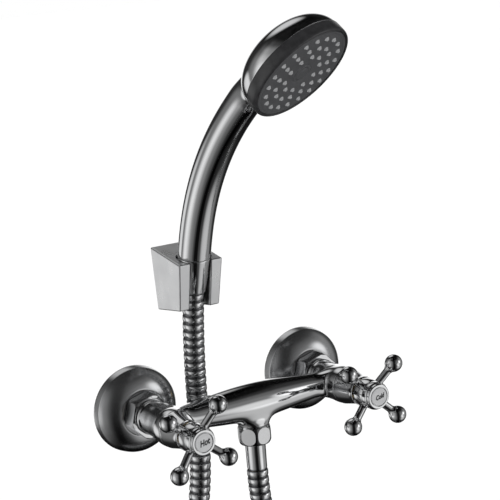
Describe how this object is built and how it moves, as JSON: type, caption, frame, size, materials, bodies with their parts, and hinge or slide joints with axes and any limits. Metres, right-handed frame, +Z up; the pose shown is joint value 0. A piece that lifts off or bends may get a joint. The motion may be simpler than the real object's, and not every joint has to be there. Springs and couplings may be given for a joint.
{
  "type": "two-handle shower mixer",
  "caption": "Wall shower mixer: crossbar between two cross-handle valves with domed escutcheons, ribbed hose, handset in a wedge wall bracket.",
  "frame": {"origin": "on the wall plane, midway between the two inlets at the height of the valve axes", "axes": "+X right along the wall as seen from the front, +Y into the wall, +Z up"},
  "size_m": [0.2235, 0.2178, 0.6422],
  "materials": {
    "chrome": "bright plated brass and zinc castings",
    "brass": "bare machined",
    "ceramic": "lapped white ceramic",
    "steel": "plain",
    "index": "satin grey with a dark letter",
    "rubber": "matte",
    "hose": "polished metal strip wound over a rubber tube",
    "strap": "woven strap",
    "plated_plastic": "chrome plated",
    "ring": "satin black",
    "plate": "fine satin",
    "inner_plastic": "plain",
    "nozzle": "soft grey"
  },
  "bodies": {
    "mixer": {"hot_union": "brass", "hot_escutcheon": "chrome", "hot_union_nut": "chrome", "hot_tailpiece": "brass", "hot_headwork": "brass", "hot_fixed_disc": "ceramic", "hot_sleeve": "chrome", "cold_union": "brass", "cold_escutcheon": "chrome", "cold_union_nut": "chrome", "cold_tailpiece": "brass", "cold_headwork": "brass", "cold_fixed_disc": "ceramic", "cold_sleeve": "chrome", "inlet_washers": "rubber", "seat_seals": "rubber", "headwork_gaskets": "rubber", "spindle_seals": "rubber", "body_casting": "chrome", "hose_nut": "chrome", "hose_washer": "rubber", "outlet_stem": "brass", "outlet_ferrule": "chrome", "hose_outlet": "hose", "hose_riser": "hose", "hose_coil": "hose", "hose_ties": "strap", "bracket_body": "plated_plastic", "bracket_plate": "inner_plastic", "bracket_screws": "steel", "bracket_plugs": "inner_plastic"},
    "hot_handle": {"hot_cross_handle": "chrome", "hot_handle_screw": "steel", "hot_cap": "chrome", "hot_index": "index", "hot_spindle": "brass", "hot_spindle_clip": "steel", "hot_moving_disc": "ceramic"},
    "cold_handle": {"cold_cross_handle": "chrome", "cold_handle_screw": "steel", "cold_cap": "chrome", "cold_index": "index", "cold_spindle": "brass", "cold_spindle_clip": "steel", "cold_moving_disc": "ceramic"},
    "hose_end": {"riser_stem": "brass", "riser_ferrule": "chrome"},
    "handset": {"handset_body": "plated_plastic", "spray_ring": "ring", "spray_plate": "plate", "nozzles": "nozzle", "flow_plate": "inner_plastic", "spray_seal": "rubber", "spray_screw": "steel", "emblem_cap": "ring", "cone_nut": "plated_plastic", "cone_washer": "rubber"}
  },
  "joints": [
    {"name": "hot_handle_turn", "type": "hinge", "parent": "mixer", "child": "hot_handle", "pos_m": [-0.075, -0.09, 0], "axis": [0, -1, 0], "range_deg": [0, 90]},
    {"name": "cold_handle_turn", "type": "hinge", "parent": "mixer", "child": "cold_handle", "pos_m": [0.075, -0.09, 0], "axis": [0, 1, 0], "range_deg": [0, 90]},
    {"name": "handset_lift", "type": "slide", "parent": "mixer", "child": "hose_end", "axis": [0, -0.225, 0.9744], "range_m": [0, 0.045], "deforming": ["hose_riser"]},
    {"name": "handset_swivel", "type": "hinge", "parent": "hose_end", "child": "handset", "pos_m": [-0.03, -0.0352, 0.11594], "axis": [0, -0.225, 0.9744], "range_deg": [-90, 70]}
  ]
}
